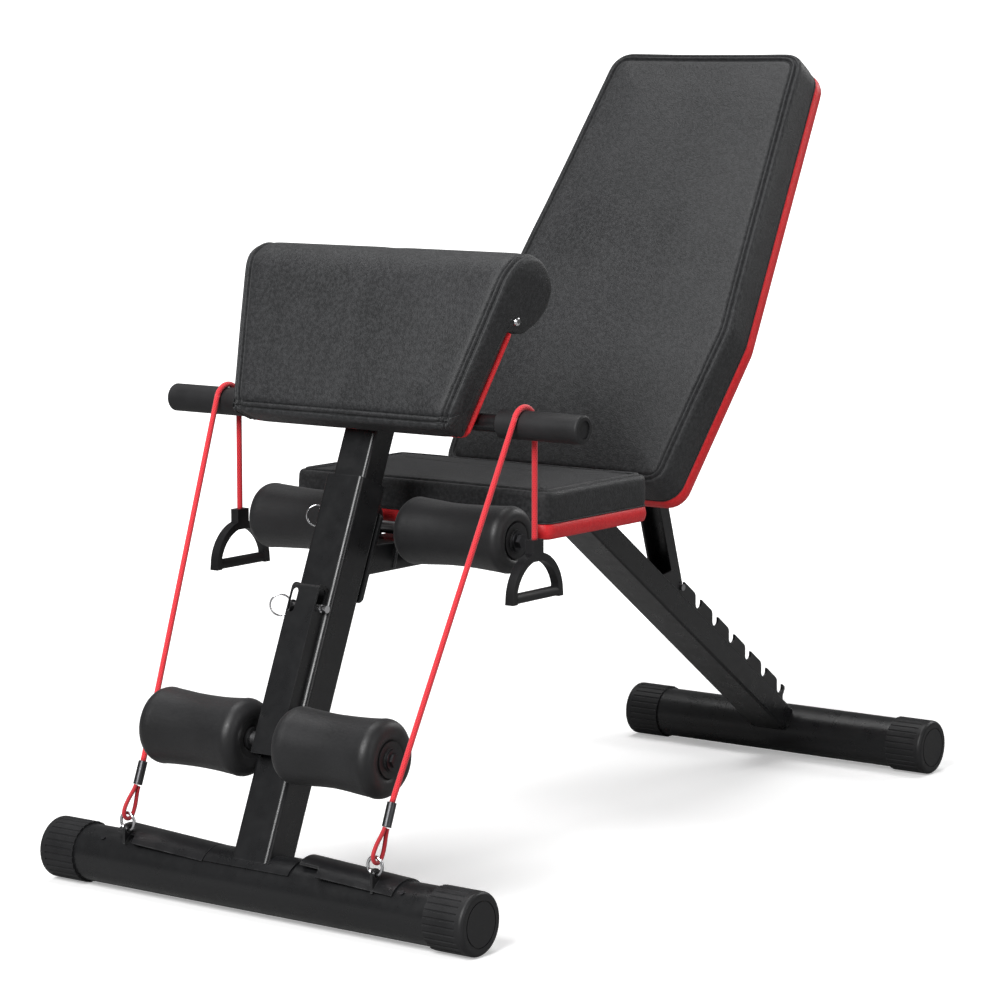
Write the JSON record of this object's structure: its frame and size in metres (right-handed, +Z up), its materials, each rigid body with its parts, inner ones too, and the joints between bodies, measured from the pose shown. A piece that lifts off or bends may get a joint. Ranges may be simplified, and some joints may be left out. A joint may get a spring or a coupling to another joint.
{
  "type": "decline sit up bench",
  "caption": "Folding-frame gym bench with reclining backrest on a notched strut, fixed seat, foam leg rollers, raised arm pad with crossbar grips and elastic hand cords.",
  "frame": {"origin": "middle of the footprint on the floor", "axes": "+X across the bench to the sitter's left when facing the front, -Y the leg-roller end, +Y the backrest end, +Z up"},
  "size_m": [0.56, 1.066, 0.8652],
  "materials": {
    "frame_paint": "satin black powder coat",
    "cap_plastic": "matte moulded black",
    "pad_vinyl": "fine grained black artificial leather",
    "pad_red": "red artificial leather band",
    "foam": "smooth skinned black foam",
    "grip_rubber": "matte black",
    "hub_plastic": "matte moulded dark grey",
    "fasteners": "dull zinc",
    "bright": "polished",
    "cord_red": "braided elastic cord"
  },
  "bodies": {
    "frame": {"front_foot_tube": "frame_paint", "rear_foot_tube": "frame_paint", "front_end_caps": "cap_plastic", "rear_end_caps": "cap_plastic", "front_post": "frame_paint", "post_saddle": "frame_paint", "cord_hook_plates": "frame_paint", "main_rail": "frame_paint", "rail_end_plate": "frame_paint", "notched_rack": "frame_paint", "upper_axle_bracket": "frame_paint", "upper_axle": "fasteners", "upper_axle_bolts": "fasteners", "carrier_guide_strip": "frame_paint", "seat_mount_plate": "frame_paint", "seat_board": "pad_red", "seat_cushion": "pad_vinyl", "frame_bolts": "fasteners", "pivot_bolt": "fasteners", "pad_pin_boss": "frame_paint", "cord_ferrules": "cap_plastic", "cord_loops": "cord_red", "snap_rings": "bright", "cord_runs": "cord_red"},
    "backrest": {"backrest_cushion": "pad_vinyl", "backrest_board": "pad_red", "backrest_arms": "frame_paint", "backrest_bolts": "fasteners"},
    "strut": {"strut_channel": "frame_paint", "strut_top_pin": "fasteners", "strut_foot_pin": "fasteners"},
    "pad_mast": {"pad_post": "frame_paint", "handlebar": "frame_paint", "handle_grips": "grip_rubber", "bar_end_plugs": "cap_plastic", "pad_brackets": "frame_paint", "pad_bolts": "fasteners", "pad_board": "pad_red", "pad_cushion": "pad_vinyl", "pad_side_screws": "bright", "cord_wraps": "cord_red", "cord_drop_left": "cord_red", "cord_drop_right": "cord_red"},
    "pad_pin": {"pad_lock_pin": "bright"},
    "carrier": {"roller_carrier": "frame_paint", "lower_axle": "fasteners", "lower_axle_bolts": "fasteners"},
    "roller_pin": {"roller_lock_pin": "bright"},
    "upper_roller_left": {"roller_foam_upper_left": "foam", "roller_hub_upper_left": "hub_plastic"},
    "upper_roller_right": {"roller_foam_upper_right": "foam", "roller_hub_upper_right": "hub_plastic"},
    "lower_roller_left": {"roller_foam_lower_left": "foam", "roller_hub_lower_left": "hub_plastic"},
    "lower_roller_right": {"roller_foam_lower_right": "foam", "roller_hub_lower_right": "hub_plastic"},
    "pull_handle_left": {"handle_yoke_left": "cap_plastic", "handle_grip_left": "grip_rubber"},
    "pull_handle_right": {"handle_yoke_right": "cap_plastic", "handle_grip_right": "grip_rubber"}
  },
  "joints": [
    {"name": "backrest_recline", "type": "hinge", "parent": "frame", "child": "backrest", "pos_m": [0, 0.0615, 0.348], "axis": [1, 0, 0], "range_deg": [-63, 0]},
    {"name": "strut_swing", "type": "hinge", "parent": "backrest", "child": "strut", "pos_m": [0, 0.1552, 0.509], "axis": [1, 0, 0], "range_deg": [0, 84.7]},
    {"name": "pad_height", "type": "slide", "parent": "frame", "child": "pad_mast", "axis": [0, 0.3827, 0.9239], "range_m": [0, 0.05], "deforming": ["cord_runs"]},
    {"name": "pad_pin_pull", "type": "slide", "parent": "frame", "child": "pad_pin", "axis": [-1, 0, 0], "range_m": [0, 0.012]},
    {"name": "roller_height", "type": "slide", "parent": "frame", "child": "carrier", "axis": [0, 0.3827, 0.9239], "range_m": [-0.05, 0]},
    {"name": "roller_pin_pull", "type": "slide", "parent": "carrier", "child": "roller_pin", "axis": [-1, 0, 0], "range_m": [0, 0.03]},
    {"name": "upper_left_spin", "type": "hinge", "parent": "frame", "child": "upper_roller_left", "pos_m": [-0.1, -0.2885, 0.374], "axis": [1, 0, 0], "continuous": true},
    {"name": "upper_right_spin", "type": "hinge", "parent": "frame", "child": "upper_roller_right", "pos_m": [0.1, -0.2885, 0.374], "axis": [1, 0, 0], "continuous": true},
    {"name": "lower_left_spin", "type": "hinge", "parent": "carrier", "child": "lower_roller_left", "pos_m": [-0.09, -0.47925, 0.17578], "axis": [1, 0, 0], "continuous": true},
    {"name": "lower_right_spin", "type": "hinge", "parent": "carrier", "child": "lower_roller_right", "pos_m": [0.09, -0.47925, 0.17578], "axis": [1, 0, 0], "continuous": true},
    {"name": "pull_left", "type": "slide", "parent": "pad_mast", "child": "pull_handle_left", "axis": [0, 0, -1], "range_m": [0, 0.12], "stiffness_N_per_m": 150, "deforming": ["cord_drop_left"]},
    {"name": "pull_right", "type": "slide", "parent": "pad_mast", "child": "pull_handle_right", "axis": [0, 0, -1], "range_m": [0, 0.12], "stiffness_N_per_m": 150, "deforming": ["cord_drop_right"]}
  ],
  "couplings": [
    {"joint": "strut_swing", "follows": "backrest_recline", "ratio": -1.3424}
  ]
}
